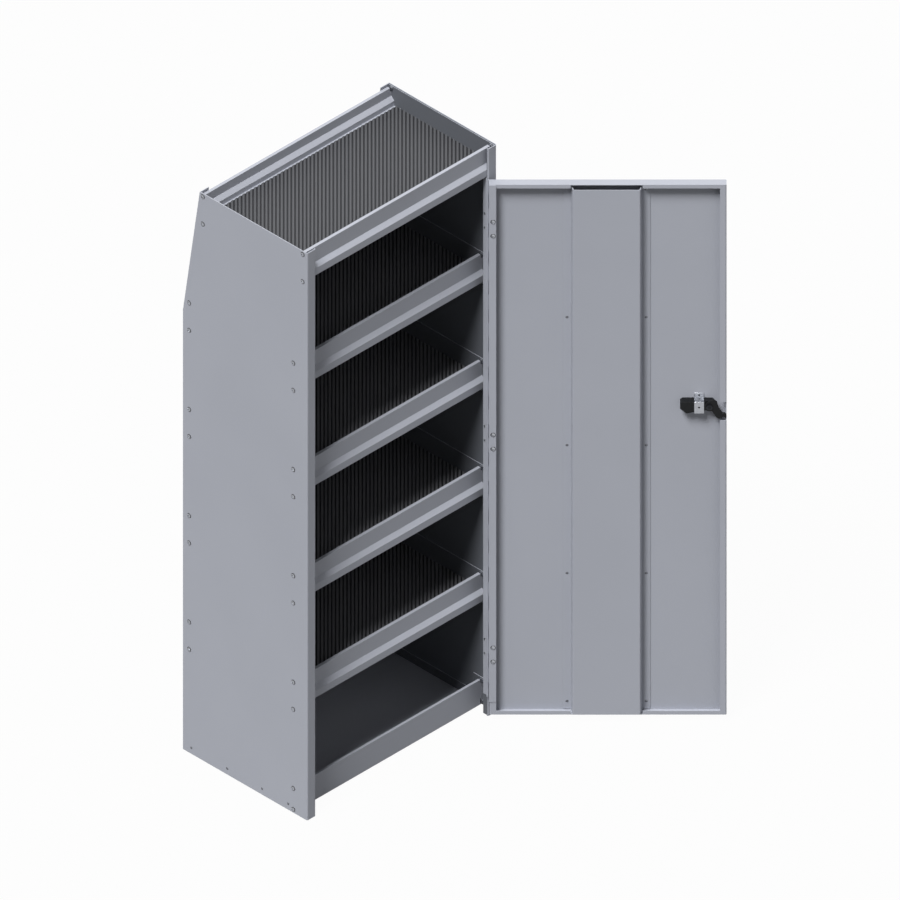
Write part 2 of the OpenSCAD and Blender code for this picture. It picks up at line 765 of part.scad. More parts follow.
// Hat shaped stiffener down the middle of the door
module door_stiffener() {
    t = door_t;
    n0 = skin_n + door_t;
    w = hat_w / 2;
    f = w - hat_slope;
    b = hat_bend / 2;
    outside = [
        [w + hat_flange_w, 0], [w + hat_flange_w, t], [w + t / 3, t],
        [f + b, hat_depth - hat_bend], [f - b, hat_depth]
    ];
    inside = [[f - t - b, hat_depth - t], [f - t, hat_depth - t - b], [w - t, 0]];
    color(steel_grey) on_door() translate([-hat_u, n0, hat_z0]) difference() {
        linear_extrude(hat_z1 - hat_z0)
            polygon(concat(outside, flipped(outside), flipped(inside), inside));
        for (s = [-1, 1], z = hat_rivet_z)
            translate([s * (hat_w + hat_flange_w) / 2, t + over, z - hat_z0]) rotate([90, 0, 0])
                cylinder(h = t + 2 * over, d = rivet_d + 2 * hole_gap, $fn = round_fn);
    }
}

module stiffener_rivets() {
    color(zinc) on_door() for (x = hat_rivet_x, z = hat_rivet_z)
        translate([x, skin_n + 2 * door_t, z]) rotate([-90, 0, 0])
            domed_pin(rivet_head_d, rivet_head_h, rivet_d, 2 * door_t);
}

// Moving leaf of the hinge: along the door's edge and round on to its lip
module hinge_door_leaf() {
    lap = door_lip_w + door_u0 - leaf_u;
    color(steel_grey) on_door() difference() {
        union() {
            knuckles(1) knuckle_section()
                translate([-leaf_u - leaf_t, -pin_d / 2])
                    square([leaf_t + leaf_u - pin_d / 2 - run_gap - fit_gap, pin_d]);
            translate([-leaf_u - leaf_t, -pin_d / 2, hinge_low])
                cube([leaf_t, rim_n + leaf_t + pin_d / 2, hinge_len]);
            translate([-leaf_u - lap, rim_n, hinge_low]) cube([lap, leaf_t, hinge_len]);
        }
        for (z = hinge_heights)
            translate([-leaf_u - hinge_bolt_inset, rim_n + leaf_t + over, z]) rotate([90, 0, 0])
                cylinder(h = leaf_t + 2 * over, d = hinge_bolt_d + 2 * hole_gap,
                         $fn = round_fn);
    }
}

// Domed hinge bolts, each with its nut behind the lip
module hinge_bolts() {
    color(zinc) on_door() for (z = hinge_heights)
        translate([-leaf_u - hinge_bolt_inset, rim_n + leaf_t, z]) rotate([-90, 0, 0]) {
            domed_pin(hinge_bolt_head_d, hinge_bolt_head_h, hinge_bolt_d,
                      leaf_t + door_t + hinge_nut_t);
            translate([0, 0, -leaf_t - door_t - hinge_nut_t])
                cylinder(h = hinge_nut_t, d = hinge_bolt_head_d, $fn = 6);
        }
}

// Places a piece of the latch on the spindle's line, with z towards the inside
module on_spindle(n) {
    on_door() translate([-spindle_u, n, latch_z]) rotate([-90, 0, 0]) children();
}

// Black housing of the latch, lower where the hook lies on it
module latch_housing() {
    n0 = skin_n + door_t;
    h = housing_h / 2;
    left = [-strap_u - strap_w / 2, -strap_u + strap_w / 2];
    mid = (left[1] - housing_u0) / 2;
    tall = [
        [-housing_u0, h - housing_cut], [-housing_u0 - housing_cut, h], [left[0], h],
        [left[0], -h], [left[1], -h],
        [mid - housing_cut / 2, -h - housing_chin], [mid + housing_cut / 2, -h - housing_chin],
        [-housing_u0, -h + housing_shoulder]
    ];
    low = [
        [left[0], h], [-housing_u1 + housing_cut, h], [-housing_u1, h - housing_cut],
        [-housing_u1, -h + housing_cut], [-housing_u1 + housing_cut, -h], [left[0], -h]
    ];
    color(black) on_door() translate([0, 0, latch_z]) difference() {
        union() {
            translate([0, housing_n, 0]) rotate([90, 0, 0])
                linear_extrude(housing_n - n0) polygon(tall);
            translate([0, hook_seat, 0]) rotate([90, 0, 0])
                linear_extrude(hook_seat - n0) polygon(low);
        }
        translate([-spindle_u, hook_seat + over, 0]) rotate([90, 0, 0])
            cylinder(h = hook_seat + over, r = spindle_d / 2 + run_gap, $fn = round_fn);
        translate([-spindle_u, housing_n + over, 0]) rotate([90, 0, 0])
            cylinder(h = housing_n - hook_seat + over, $fn = round_fn,
                     r = hook_reach * hook_back_shares + fit_gap + run_gap);
    }
}

// Strap that holds the housing to the door
module latch_strap() {
    n0 = skin_n + door_t;
    front = housing_n + strap_gap;
    z1 = housing_h / 2 + strap_gap;
    z0 = -z1 - strap_drop;
    section = [
        [n0, z1 + strap_foot], [n0 + strap_t, z1 + strap_foot], [n0 + strap_t, z1 + strap_t],
        [front + strap_t, z1 + strap_t], [front + strap_t, z0 - strap_t],
        [n0 + strap_t, z0 - strap_t], [n0 + strap_t, z0 - strap_foot], [n0, z0 - strap_foot],
        [n0, z0], [front, z0], [front, z1], [n0, z1]
    ];
    color(zinc) on_door() translate([-strap_u - strap_w / 2, 0, latch_z])
        along_x(strap_w) polygon(section);
}

// Screws of the strap: one in its face and one in each foot
module latch_strap_screws() {
    n0 = skin_n + door_t + strap_t;
    z1 = housing_h / 2 + (strap_foot + strap_t) / 2;
    places = [[housing_n + strap_gap + strap_t, 0], [n0, z1], [n0, -z1 - strap_drop]];
    color(zinc) on_door() for (p = places)
        translate([-strap_u, p[0], latch_z + p[1]]) rotate([-90, 0, 0])
            cylinder(h = rivet_head_h, d = strap_screw_d, $fn = round_fn);
}

// Hook that swings behind the post's leg, on the shoulder of the spindle
module latch_hook() {
    r = hook_back_shares;
    back = [for (a = [110 : 15 : 290]) [r * cos(a), r * sin(a)]];
    color(black) on_spindle(hook_n) linear_extrude(hook_t) difference() {
        polygon([for (p = concat(back, [for (i = [len(hook_shares) - 1 : -1 : 0]) hook_shares[i]]))
            [-p[0] * hook_reach, -p[1] * hook_reach]]);
        circle(d = thread_d + 2 * hole_gap, $fn = round_fn);
    }
}

// Nut that holds the hook on the spindle
module hook_nut() {
    color(zinc) on_spindle(hook_n + hook_t) difference() {
        cylinder(h = hook_nut_h, d = hook_nut_af / cos(30), $fn = 6);
        translate([0, 0, -over])
            cylinder(h = hook_nut_h + 2 * over, d = thread_d, $fn = round_fn);
    }
}

// Round plate under the lever handle, outside the door
module handle_rose() {
    color(black) on_spindle(skin_n - rose_t) difference() {
        cylinder(h = rose_t, d = rose_d, $fn = round_fn);
        translate([0, 0, -over])
            cylinder(h = rose_t + 2 * over, r = spindle_d / 2 + run_gap, $fn = round_fn);
    }
}

module handle_rose_screws() {
    color(zinc) for (s = [-1, 1]) on_spindle(skin_n - rose_t) translate([s * rose_screw_r, 0, 0])
        mirror([0, 0, 1]) cylinder(h = rose_screw_h, d = rose_screw_d, $fn = round_fn);
}

// Lever handle with its spindle, turned back from upright while the hook is drawn in
module lever_handle() {
    base_n = skin_n - rose_t - rose_gap;
    shoulder = hook_n - base_n;
    bore = lock_d / 2 + run_gap;
    hub_r = hub_d / 2;
    root = (bore + hub_r) / 2;
    profile = [
        [bore, -hub_h], [hub_r, -hub_h], [hub_r, 0], [spindle_d / 2, 0],
        [spindle_d / 2, shoulder], [thread_d / 2, shoulder],
        [thread_d / 2, shoulder + hook_t + hook_nut_h + spindle_end],
        [0, shoulder + hook_t + hook_nut_h + spindle_end], [0, lock_depth - hub_h],
        [bore, lock_depth - hub_h]
    ];
    color(black) on_spindle(base_n) union() {
        rotate_extrude($fn = round_fn) polygon(profile);
        rotate([0, 0, 90 - latch_turn]) translate([0, 0, handle_drop - hub_h]) {
            translate([root, -handle_w / 2, 0])
                cube([handle_len - handle_end_d / 2 - root, handle_w, handle_t]);
            translate([handle_len - handle_end_d / 2, 0, 0])
                cylinder(h = handle_t, d = handle_end_d, $fn = round_fn);
        }
    }
}

// Key cylinder in the hub of the handle
module lock_cylinder() {
    color(zinc) on_spindle(skin_n - rose_t - rose_gap - hub_h) mirror([0, 0, 1]) difference() {
        translate([0, 0, -lock_depth + fit_gap])
            cylinder(h = lock_depth + lock_proud - fit_gap, d = lock_d, $fn = round_fn);
        translate([-key_slot_l / 2, -key_slot_w / 2, lock_proud - key_slot_deep])
            cube([key_slot_l, key_slot_w, key_slot_deep + over]);
    }
}

// Striker on the leg of the latch side post, which the hook swings behind
module striker_plate() {
    x0 = post_w - side_t - striker_t;
    y0 = side_bend_r;
    y1 = post_leg - striker_end_gap;
    color(zinc) on_cabinet() difference() {
        translate([x0, y0, latch_z - striker_h / 2]) cube([striker_t, y1 - y0, striker_h]);
        for (p = striker_rivet_places)
            facing_left(x0 + striker_t + over, p[0], p[1])
                cylinder(h = striker_t + 2 * over, d = rivet_d + 2 * hole_gap, $fn = round_fn);
    }
}

module striker_rivets() {
    color(zinc) on_cabinet() for (p = striker_rivet_places)
        facing_left(post_w - side_t - striker_t, p[0], p[1])
            domed_pin(rivet_head_d, rivet_head_h, rivet_d, side_t + striker_t);
}

left_side_panel();
right_side_panel();
base_pan();
top_tray();
shelf(1);  // shelf_1
shelf(2);  // shelf_2
shelf(3);  // shelf_3
shelf(4);  // shelf_4
top_mat();
shelf_mat(1);  // shelf_mat_1
shelf_mat(2);  // shelf_mat_2
shelf_mat(3);  // shelf_mat_3
shelf_mat(4);  // shelf_mat_4
lower_back_panel();
upper_back_panel();
left_side_bolts();
right_side_bolts();
left_side_nuts();
right_side_nuts();
base_rivets();
back_rivets();
hinge_post_leaf();
hinge_pin();
hinge_post_rivets();
striker_plate();
striker_rivets();
door_pan();
door_stiffener();
stiffener_rivets();
hinge_door_leaf();
hinge_bolts();
latch_housing();
latch_strap();
latch_strap_screws();
handle_rose();
handle_rose_screws();
latch_hook();
hook_nut();
lever_handle();
lock_cylinder();
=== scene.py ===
"""Looks of a tall steel security cabinet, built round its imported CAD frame.

The cabinet is bent and powder coated sheet steel: two side panels, five lipped trays with
ribbed rubber mats, a base pan, a back and one hinged door with a hook latch.
"""

from __future__ import annotations

import logging
import math
from collections.abc import Iterable
from dataclasses import dataclass, field
from enum import Enum
from typing import Any

import bmesh
import bpy
from mathutils import Matrix, Vector

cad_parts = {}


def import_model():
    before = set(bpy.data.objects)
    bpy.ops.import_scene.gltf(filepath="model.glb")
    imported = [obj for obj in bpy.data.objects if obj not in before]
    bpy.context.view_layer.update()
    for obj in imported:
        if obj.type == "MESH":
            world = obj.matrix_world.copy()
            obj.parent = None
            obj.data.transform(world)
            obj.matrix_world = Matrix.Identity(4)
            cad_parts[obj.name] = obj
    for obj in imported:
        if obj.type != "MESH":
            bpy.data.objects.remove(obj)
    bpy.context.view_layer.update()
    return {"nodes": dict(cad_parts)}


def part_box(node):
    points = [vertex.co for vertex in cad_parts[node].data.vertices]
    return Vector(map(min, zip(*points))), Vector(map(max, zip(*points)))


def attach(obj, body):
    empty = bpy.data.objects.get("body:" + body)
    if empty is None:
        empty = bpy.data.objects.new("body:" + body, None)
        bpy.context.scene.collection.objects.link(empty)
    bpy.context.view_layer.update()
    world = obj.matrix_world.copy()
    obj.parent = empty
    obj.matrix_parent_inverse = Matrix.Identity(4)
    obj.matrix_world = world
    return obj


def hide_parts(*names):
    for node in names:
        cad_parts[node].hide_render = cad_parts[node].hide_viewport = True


LOG = logging.getLogger("cabinet")
MM = 0.001
MERGE = 0.01 * MM  # points closer than this are one
TOUCH = 0.0001 * MM  # the same for points that an operator puts in one place
LEVEL_DEG = 0.3  # faces that meet at less than this are one flat
FLAT_DEG = 0.5  # faces that meet at more than this are parts of a bend
SQUARE_DEG = (60.0, 120.0)  # an edge that turns between these is a square one
WHITE = "#FFFFFF"


class Body(str, Enum):
    """Bodies that the dressed pieces ride on."""

    CABINET = "cabinet"
    DOOR = "door"
    HANDLE = "handle"


class Slot(str, Enum):
    """Names of material slots."""

    PANEL = "panel"
    TRAY = "tray"
    MAT = "mat"
    FASTENER = "fastener"
    LATCH_STEEL = "latch_steel"
    LATCH_BLACK = "latch_black"


def linear(code: str) -> tuple[float, float, float, float]:
    """Turn an sRGB hex value into a linear colour.

    Args:
        code: The colour as "#RRGGBB".

    Returns:
        Red, green, blue and an alpha of 1.
    """
    parts = [int(code[i : i + 2], 16) / 255 for i in (1, 3, 5)]
    red, green, blue = (
        c / 12.92 if c <= 0.04045 else ((c + 0.055) / 1.055) ** 2.4 for c in parts
    )
    return red, green, blue, 1.0


def add_node(
    tree: bpy.types.NodeTree, kind: str, links: dict[Any, Any] | None = None, **settings: Any
) -> bpy.types.Node:
    """Add a shader node with its settings and links.

    Args:
        tree: The node tree that takes the node.
        kind: The node's type name.
        links: Input sockets by name or number, each with a value or the socket that feeds it.
        **settings: Attributes of the node.

    Returns:
        The new node.
    """
    node = tree.nodes.new(kind)
    for name, value in settings.items():
        setattr(node, name, value)
    for socket, source in (links or {}).items():
        if isinstance(source, bpy.types.NodeSocket):
            tree.links.new(source, node.inputs[socket])
        else:
            node.inputs[socket].default_value = source
    return node


def new_material(name: str) -> tuple[bpy.types.Material, bpy.types.NodeTree]:
    """Make an empty node material.

    Args:
        name: The material's name.

    Returns:
        The material and its node tree.
    """
    material = bpy.data.materials.new(name)
    material.use_nodes = True
    material.node_tree.nodes.clear()
    return material, material.node_tree


@dataclass(frozen=True)
class PowderCoat:
    """Polyester powder coat, sprayed on bent sheet and baked.

    It gives the eye an even satin grey with a faint orange peel and slow drifts of tone. Faces
    that look into the cabinet are mixed to a darker grey by a mesh attribute: painted shade,
    standing for the dark that falls in the cabinet.
    """

    name: str = "satin_powder_coat"
    colour: str = "#A9ACB5"
    drift_colour: str = "#A3A6AF"
    # painted shade on the faces that look into the cabinet
    inside_colour: str = "#5E6167"
    drift_mm: float = 240.0
    drift_detail: float = 3.0
    peel_mm: float = 5.0  # real peel is about 2 mm, drawn coarser so that it shows
    peel_detail: float = 2.0
    peel_depth_mm: float = 0.02
    peel_strength: float = 0.5
    roughness: float = 0.5
    roughness_swing: float = 0.05
    sheen: float = 0.2

    def build(self) -> bpy.types.Material:
        """Build the material.

        Returns:
            The new material.
        """
        material, tree = new_material(self.name)
        place = add_node(tree, "ShaderNodeTexCoord").outputs["Object"]
        drift = add_node(
            tree, "ShaderNodeTexNoise",
            {"Vector": place, "Scale": 1 / (self.drift_mm * MM), "Detail": self.drift_detail},
        ).outputs[0]
        tone = add_node(
            tree, "ShaderNodeMix",
            {"Factor": drift, "A": linear(self.colour), "B": linear(self.drift_colour)},
            data_type="RGBA",
        )
        # mask of the painted shade on the faces that look into the cabinet
        inside = add_node(
            tree, "ShaderNodeAttribute", attribute_name="inside"
        ).outputs["Fac"]
        coat = add_node(
            tree, "ShaderNodeMix",
            {"Factor": inside, "A": tone.outputs["Result"], "B": linear(self.inside_colour)},
            data_type="RGBA",
        )
        peel = add_node(
            tree, "ShaderNodeTexNoise",
            {"Vector": place, "Scale": 1 / (self.peel_mm * MM), "Detail": self.peel_detail},
        ).outputs[0]
        gloss = add_node(
            tree, "ShaderNodeMapRange",
            {
                "Value": drift,
                "To Min": self.roughness - self.roughness_swing,
                "To Max": self.roughness + self.roughness_swing,
            },
        )
        bump = add_node(
            tree, "ShaderNodeBump",
            {
                "Height": peel,
                "Distance": self.peel_depth_mm * MM,
                "Strength": self.peel_strength,
            },
        )
        shader = add_node(
            tree, "ShaderNodeBsdfPrincipled",
            {
                "Base Color": coat.outputs["Result"],
                "Roughness": gloss.outputs[0],
                "Specular IOR Level": self.sheen,
                "Normal": bump.outputs[0],
            },
        )
        add_node(tree, "ShaderNodeOutputMaterial", {"Surface": shader.outputs[0]})
        return material


@dataclass(frozen=True)
class PlatedSteel:
    """Steel under zinc, tumbled in a barrel, or under a dark phosphate or oxide layer.

    It gives the eye a metal with soft cloudy reflections. A mesh attribute darkens it with
    painted shade at the foot of a head and in its recess; it is 1 where the painted shade is
    deepest, and a mesh without it is not darkened.
    """

    name: str = "zinc_plated_steel"
    colour: str = "#B4B7BC"
    cloud_colour: str = "#9A9CA2"
    # painted shade at the foot of a head and in its recess
    head_shade_colour: str = "#3A3B3E"
    cloud_mm: float = 6.0
    cloud_detail: float = 4.0
    roughness: float = 0.34
    roughness_swing: float = 0.08

    def build(self) -> bpy.types.Material:
        """Build the material.

        Returns:
            The new material.
        """
        material, tree = new_material(self.name)
        place = add_node(tree, "ShaderNodeTexCoord").outputs["Object"]
        cloud = add_node(
            tree, "ShaderNodeTexNoise",
            {"Vector": place, "Scale": 1 / (self.cloud_mm * MM), "Detail": self.cloud_detail},
        ).outputs[0]
        tone = add_node(
            tree, "ShaderNodeMix",
            {"Factor": cloud, "A": linear(self.colour), "B": linear(self.cloud_colour)},
            data_type="RGBA",
        )
        # mask of the painted shade on a head
        head_shade = add_node(tree, "ShaderNodeAttribute", attribute_name="head_shade").outputs["Fac"]
        head_shaded = add_node(
            tree, "ShaderNodeMix",
            {"Factor": head_shade, "A": tone.outputs["Result"], "B": linear(self.head_shade_colour)},
            data_type="RGBA",
        )
        gloss = add_node(
            tree, "ShaderNodeMapRange",
            {
                "Value": cloud,
                "To Min": self.roughness - self.roughness_swing,
                "To Max": self.roughness + self.roughness_swing,
            },
        )
        shader = add_node(
            tree, "ShaderNodeBsdfPrincipled",
            {
                "Base Color": head_shaded.outputs["Result"],
                "Metallic": 1.0,
                "Roughness": gloss.outputs[0],
            },
        )
        add_node(tree, "ShaderNodeOutputMaterial", {"Surface": shader.outputs[0]})
        return material


@dataclass(frozen=True)
class MouldedNylon:
    """Black glass filled nylon, moulded in a finely spark eroded tool.

    It gives the eye a near black with a fine grain and a dull sheen.
    """

    name: str = "moulded_black_nylon"
    colour: str = "#0F1011"
    worn_colour: str = "#1A1B1D"
    grain_mm: float = 1.2  # real grain is about 0.2 mm, drawn coarser so that it shows
    grain_detail: float = 2.0
    grain_depth_mm: float = 0.03
    grain_strength: float = 0.6
    wear_mm: float = 25.0
    wear_detail: float = 3.0
    roughness: float = 0.42
    sheen: float = 0.16

    def build(self) -> bpy.types.Material:
        """Build the material.

        Returns:
            The new material.
        """
        material, tree = new_material(self.name)
        place = add_node(tree, "ShaderNodeTexCoord").outputs["Object"]
        wear = add_node(
            tree, "ShaderNodeTexNoise",
            {"Vector": place, "Scale": 1 / (self.wear_mm * MM), "Detail": self.wear_detail},
        ).outputs[0]
        tone = add_node(
            tree, "ShaderNodeMix",
            {"Factor": wear, "A": linear(self.colour), "B": linear(self.worn_colour)},
            data_type="RGBA",
        )
        grain = add_node(
            tree, "ShaderNodeTexNoise",
            {"Vector": place, "Scale": 1 / (self.grain_mm * MM), "Detail": self.grain_detail},
        ).outputs[0]
        bump = add_node(
            tree, "ShaderNodeBump",
            {
                "Height": grain,
                "Distance": self.grain_depth_mm * MM,
                "Strength": self.grain_strength,
            },
        )
        shader = add_node(
            tree, "ShaderNodeBsdfPrincipled",
            {
                "Base Color": tone.outputs["Result"],
                "Roughness": self.roughness,
                "Specular IOR Level": self.sheen,
                "Normal": bump.outputs[0],
            },
        )
        add_node(tree, "ShaderNodeOutputMaterial", {"Surface": shader.outputs[0]})
        return material


@dataclass(frozen=True)
class RibbedRubber:
    """Extruded nitrile rubber, with talc and handling dust on the ribs.

    It gives the eye grey rib tops over grooves darkened to nearly black with painted shade.
    A mesh attribute is 0 on a rib's top and 1 at the foot of the grooves, where the
    painted shade is deepest.
    """

    name: str = "ribbed_nitrile_rubber"
    rib_colour: str = "#58595C"
    speck_colour: str = "#4C4D50"
    # painted shade at the foot of the grooves
    groove_shade_colour: str = "#2A2B2E"
    speck_mm: float = 3.0
    speck_detail: float = 3.0
    speck_depth_mm: float = 0.05
    speck_strength: float = 0.12
    roughness: float = 0.72
    sheen: float = 0.2

    def build(self) -> bpy.types.Material:
        """Build the material.

        Returns:
            The new material.
        """
        material, tree = new_material(self.name)
        place = add_node(tree, "ShaderNodeTexCoord").outputs["Object"]
        # mask of the painted shade in the grooves
        groove_shade = add_node(
            tree, "ShaderNodeAttribute", attribute_name="groove_shade"
        ).outputs["Fac"]
        speck = add_node(
            tree, "ShaderNodeTexNoise",
            {"Vector": place, "Scale": 1 / (self.speck_mm * MM), "Detail": self.speck_detail},
        ).outputs[0]
        dusty = add_node(
            tree, "ShaderNodeMix",
            {"Factor": speck, "A": linear(self.rib_colour), "B": linear(self.speck_colour)},
            data_type="RGBA",
        )
        tone = add_node(
            tree, "ShaderNodeMix",
            {"Factor": groove_shade, "A": dusty.outputs["Result"], "B": linear(self.groove_shade_colour)},
            data_type="RGBA",
        )
        bump = add_node(
            tree, "ShaderNodeBump",
            {
                "Height": speck,
                "Distance": self.speck_depth_mm * MM,
                "Strength": self.speck_strength,
            },
        )
        shader = add_node(
            tree, "ShaderNodeBsdfPrincipled",
            {
                "Base Color": tone.outputs["Result"],
                "Roughness": self.roughness,
                "Specular IOR Level": self.sheen,
                "Normal": bump.outputs[0],
            },
        )
        add_node(tree, "ShaderNodeOutputMaterial", {"Surface": shader.outputs[0]})
        return material


@dataclass
class Finishes:
    """The finishes of the cabinet, each built once."""

    coat: bpy.types.Material = field(init=False)
    zinc: bpy.types.Material = field(init=False)
    phosphate: bpy.types.Material = field(init=False)
    black_oxide: bpy.types.Material = field(init=False)
    nylon: bpy.types.Material = field(init=False)
    rubber: bpy.types.Material = field(init=False)
    shelf_rubber: bpy.types.Material = field(init=False)

    def __post_init__(self) -> None:
        """Build the materials."""
        self.coat = PowderCoat().build()
        self.zinc = PlatedSteel().build()
        self.phosphate = PlatedSteel(
            name="phosphated_steel", colour="#76787D", cloud_colour="#5F6166", roughness=0.5
        ).build()
        self.black_oxide = PlatedSteel(
            name="black_oxide_steel", colour="#3C3D41", cloud_colour="#2C2D31", roughness=0.5
        ).build()
        self.nylon = MouldedNylon().build()
        self.rubber = RibbedRubber().build()
        # painted light: a lighter copy of the rubber for the mats deep in the shelves
        self.shelf_rubber = RibbedRubber(
            name="shelf_rubber_painted_light", rib_colour="#737477", speck_colour="#646568"
        ).build()


def mark_sharp(
    shape: bmesh.types.BMesh, smooth_deg: float = 32.0, strip_mm: float | None = None
) -> None:
    """Shade a mesh smooth, with sharp edges where its faces meet at a clear angle.

    Args:
        shape: The mesh.
        smooth_deg: Edges that turn further than this are sharp.
        strip_mm: Where it is given, an edge is smooth only between two faces narrower than
            this, such as the facets of a bend, so that the flats beside a bend stay flat.
    """

    def width(face: bmesh.types.BMFace) -> float:
        """Area over the longest edge, which is the width of a narrow strip."""
        return face.calc_area() / max(edge.calc_length() for edge in face.edges)

    for face in shape.faces:
        face.smooth = True
    limit = math.radians(smooth_deg)
    for edge in shape.edges:
        if len(edge.link_faces) != 2:
            edge.smooth = False
            continue
        turn = edge.calc_face_angle(0.0)
        edge.smooth = turn < limit
        if edge.smooth and strip_mm is not None and turn > math.radians(FLAT_DEG):
            edge.smooth = max(width(face) for face in edge.link_faces) < strip_mm * MM


def finished_piece(
    shape: bmesh.types.BMesh, name: str, material: bpy.types.Material
) -> bpy.types.Object:
    """Turn a bmesh into an object.

    Args:
        shape: The mesh in the part's frame, in metres. It is freed.
        name: The piece's name.
        material: Its finish.

    Returns:
        The new object.
    """
    mesh = bpy.data.meshes.new(name)
    shape.to_mesh(mesh)
    shape.free()
    mesh.materials.append(material)
    piece = bpy.data.objects.new(name, mesh)
    bpy.context.scene.collection.objects.link(piece)
    return piece


def hand_over(piece: bpy.types.Object, body: Body, node: str) -> None:
    """Put a piece on its body and let it stand for a CAD node.

    Args:
        piece: The finished piece.
        body: The body that it rides on.
        node: The CAD node that it replaces.
    """
    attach(piece, body.value)
    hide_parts(node)
    LOG.info("%s rides on %s", piece.name, body.value)


def merged_copy(node: bpy.types.Object) -> bmesh.types.BMesh:
    """Copy a CAD node's mesh with its loose triangles merged into flat faces.

    Args:
        node: The CAD node's object.

    Returns:
        The copy as a bmesh.
    """
    shape = bmesh.new()
    shape.from_mesh(node.data)
    bmesh.ops.remove_doubles(shape, verts=shape.verts, dist=MERGE)
    bmesh.ops.dissolve_limit(
        shape, angle_limit=math.radians(LEVEL_DEG), verts=shape.verts, edges=shape.edges
    )
    return shape


def ease_edges(
    shape: bmesh.types.BMesh, width_mm: float, shortest_mm: float, segments: int = 2
) -> None:
    """Round the long square edges of a mesh.

    Args:
        shape: The mesh.
        width_mm: Width of the rounding on each face.
        shortest_mm: Edges shorter than this are left.
        segments: Number of faces across the rounding.
    """
    least, most = (math.radians(turn) for turn in SQUARE_DEG)
    square = [
        edge for edge in shape.edges
        if len(edge.link_faces) == 2
        and edge.calc_length() > shortest_mm * MM
        and least < edge.calc_face_angle(0.0) < most
        and edge.is_convex
    ]
    bmesh.ops.bevel(
        shape, geom=square, offset=width_mm * MM, offset_type="OFFSET", segments=segments,
        profile=0.5, affect="EDGES", clamp_overlap=True, material=-1,
    )


@dataclass
class SheetMetal:
    """Bent and coated sheet pieces, dressed with the rounded edges of thick powder coat."""

    nodes: dict[str, bpy.types.Object]
    finishes: Finishes
    edge_mm: float = 0.4  # rounding of the coat over an edge
    shortest_mm: float = 9.0  # shorter edges, such as those round a hole, stay sharp
    bend_mm: float = 1.0  # the facets of a bend are narrower than this
    trays: tuple[str, ...] = ("base_pan", "top_tray", "shelf_1", "shelf_2", "shelf_3", "shelf_4")
    sides: tuple[str, ...] = ("left_side_panel", "right_side_panel")
    backs: tuple[str, ...] = ("lower_back_panel", "upper_back_panel")
    door: tuple[str, ...] = ("door_pan", "door_stiffener")
    inside_cosine: float = 0.9  # least cosine between a face's normal and the way inwards

    def build(self) -> None:
        """Dress every sheet piece."""
        for group, body, slot in (
            (self.trays, Body.CABINET, Slot.TRAY),
            (self.sides, Body.CABINET, Slot.PANEL),
            (self.backs, Body.CABINET, Slot.PANEL),
            (self.door, Body.DOOR, Slot.PANEL),
        ):
            for node in group:
                self._dress(node, body)

    def _dress(self, node: str, body: Body) -> None:
        """Dress one CAD node with a rounded copy of itself.

        Args:
            node: The CAD node.
            body: The body that it rides on.
        """
        shape = merged_copy(self.nodes[node])
        ease_edges(shape, self.edge_mm, self.shortest_mm)
        # mark the faces that the coat darkens with painted shade
        if body is Body.CABINET:
            self._mark_inside(shape, node in self.backs)
        mark_sharp(shape, strip_mm=self.bend_mm)
        piece = finished_piece(shape, f"coated_{node}", self.finishes.coat)
        hand_over(piece, body, node)

    def _mark_inside(self, shape: bmesh.types.BMesh, is_back: bool) -> None:
        """Mark the faces that look into the cabinet, which the coat darkens with painted shade.

        Args:
            shape: The mesh.
            is_back: Whether it looks forward into the cabinet, as the back does. Any other
                piece looks towards the middle.
        """
        inside = shape.faces.layers.float.new("inside")
        shape.normal_update()
        for face in shape.faces:
            side = math.copysign(1.0, face.calc_center_median().x)
            inward = Vector((0, -1, 0)) if is_back else Vector((-side, 0, 0))
            face[inside] = float(face.normal.dot(inward) > self.inside_cosine)


